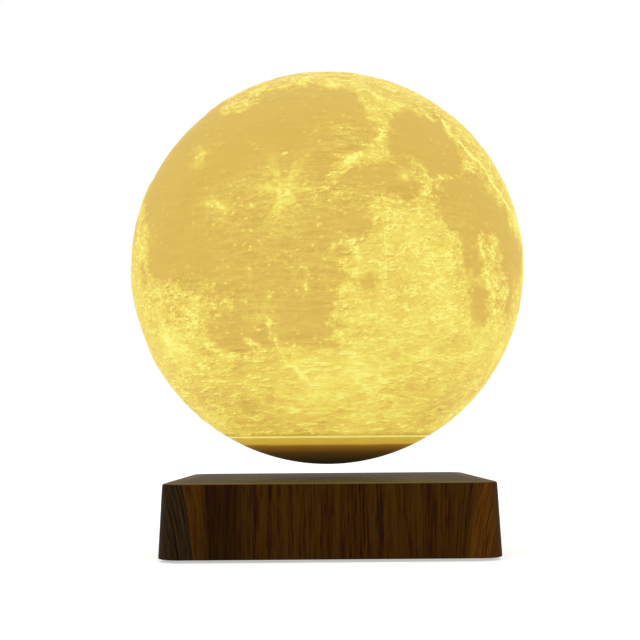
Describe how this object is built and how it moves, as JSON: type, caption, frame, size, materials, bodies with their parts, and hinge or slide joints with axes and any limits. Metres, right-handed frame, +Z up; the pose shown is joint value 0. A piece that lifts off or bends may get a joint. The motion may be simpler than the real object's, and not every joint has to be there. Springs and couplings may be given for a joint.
{
  "type": "levitating lamp",
  "caption": "Lit moon-relief sphere that floats and turns above a square walnut-finish base with a magnetic lift.",
  "frame": {"origin": "centre of the plane that the rubber feet stand on", "axes": "+Z up, front of the lamp towards -Y, the power inlet in the back wall towards +Y"},
  "size_m": [0.1797, 0.1803, 0.2172],
  "materials": {
    "walnut_finish": "satin walnut-grain finish",
    "moon_print": "translucent printed plastic, lit from inside",
    "cap_print": "translucent printed plastic over an opaque tray",
    "black_plastic": "moulded, fine texture",
    "white_plastic": "moulded",
    "foot_rubber": "soft, matte",
    "screw_steel": "zinc-plated",
    "nickel_plate": "nickel-plated",
    "ferrite": "pressed and ground ferrite",
    "copper": "enamelled copper",
    "green_board": "solder-masked board",
    "white_board": "white solder-masked board",
    "chip_black": "moulded chip package",
    "capacitor_can": "sleeved can",
    "led_yellow": "phosphor lens",
    "wire_red": "insulated wire"
  },
  "bodies": {
    "base": {"base_housing": "walnut_finish", "bottom_cover": "black_plastic", "foot_pad_1": "foot_rubber", "foot_pad_2": "foot_rubber", "foot_pad_3": "foot_rubber", "foot_pad_4": "foot_rubber", "cover_screw_1": "screw_steel", "cover_screw_2": "screw_steel", "cover_screw_3": "screw_steel", "cover_screw_4": "screw_steel", "magnet_carrier": "black_plastic", "carrier_screw_1": "screw_steel", "carrier_screw_2": "screw_steel", "carrier_screw_3": "screw_steel", "ring_magnet": "ferrite", "coil_bobbin_1": "white_plastic", "coil_bobbin_2": "white_plastic", "coil_bobbin_3": "white_plastic", "coil_bobbin_4": "white_plastic", "coil_winding_1": "copper", "coil_winding_2": "copper", "coil_winding_3": "copper", "coil_winding_4": "copper", "sensor_board": "green_board", "hall_sensor_1": "chip_black", "hall_sensor_2": "chip_black", "hall_sensor_3": "chip_black", "control_board": "green_board", "controller_chip": "chip_black", "driver_chip_1": "chip_black", "driver_chip_2": "chip_black", "filter_capacitor_1": "capacitor_can", "filter_capacitor_2": "capacitor_can", "power_coil": "copper", "touch_foil": "copper", "touch_lead": "wire_red", "power_lead": "wire_red", "dc_jack": "black_plastic", "dc_jack_pin": "nickel_plate"},
    "float_magnet": {"float_magnet": "nickel_plate"},
    "moon": {"moon_shell": "moon_print", "mouth_ring": "white_plastic", "bottom_cap": "cap_print", "magnet_tray": "black_plastic", "receiver_coil": "copper", "shield_ring": "ferrite", "receiver_lead": "wire_red", "led_board": "white_board", "led_1": "led_yellow", "led_2": "led_yellow", "led_3": "led_yellow", "led_4": "led_yellow", "led_5": "led_yellow", "led_6": "led_yellow", "tray_screw_1": "screw_steel", "tray_screw_2": "screw_steel", "tray_screw_3": "screw_steel"}
  },
  "joints": [
    {"name": "moon_lift", "type": "slide", "parent": "base", "child": "float_magnet", "axis": [0, 0, 1], "range_m": [-0.0055, 0.06], "stiffness_N_per_m": 75, "springref_m": 0.0471},
    {"name": "moon_spin", "type": "hinge", "parent": "float_magnet", "child": "moon", "pos_m": [0, 0, 0.1272], "axis": [0, 0, 1], "continuous": true}
  ]
}
